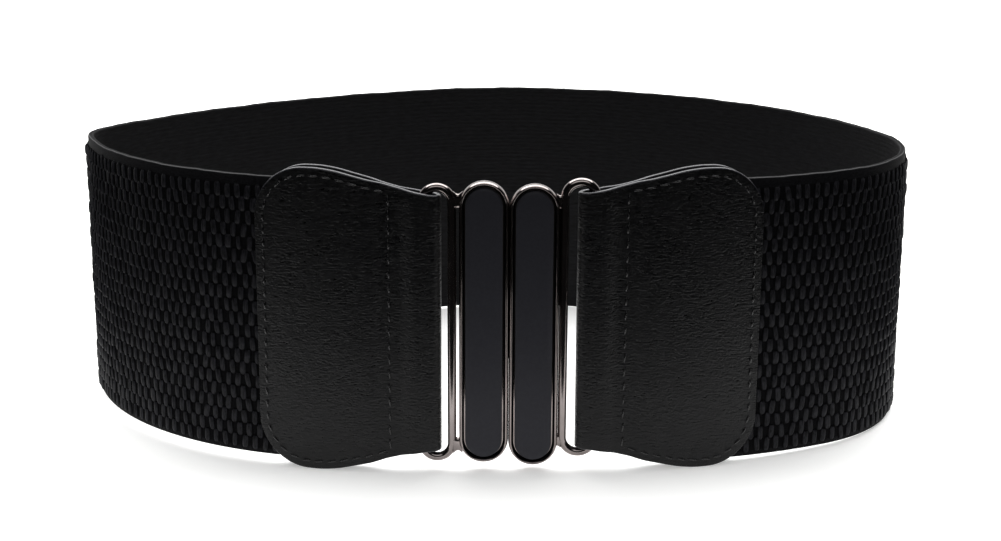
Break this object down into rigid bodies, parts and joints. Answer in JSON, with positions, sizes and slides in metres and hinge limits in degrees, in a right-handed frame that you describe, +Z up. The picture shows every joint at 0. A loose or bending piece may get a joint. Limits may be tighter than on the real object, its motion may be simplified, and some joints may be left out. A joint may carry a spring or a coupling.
{
  "type": "elastic stretch belt",
  "caption": "Wide elastic waist belt standing fastened, with flared leather tabs folded round wire rings and a buckle of upright rimmed plates with domed inlays.",
  "frame": {"origin": "centre of the bounding box in plan, on the surface that the fastened belt stands on", "axes": "+X to the wearer's left, seen from the buckle's front to the right, +Y from the buckle to the back of the waist, +Z up"},
  "size_m": [0.2326, 0.1574, 0.0804],
  "materials": {
    "knitted_elastic": "black knitted elastic band with a raised staggered grain and plain selvedges",
    "tab_leather": "smooth black leather with a soft sheen, fine grain and black stitches",
    "gunmetal_plating": "polished dark gunmetal plating on cast zinc",
    "satin_black_enamel": "satin black enamelled inlay"
  },
  "bodies": {
    "root": {"elastic_web": "knitted_elastic", "left_tab": "tab_leather", "right_tab": "tab_leather", "left_buckle_frame": "gunmetal_plating", "right_buckle_frame": "gunmetal_plating", "left_inlay": "satin_black_enamel", "right_inlay": "satin_black_enamel", "clasp_hook": "gunmetal_plating"}
  },
  "joints": []
}
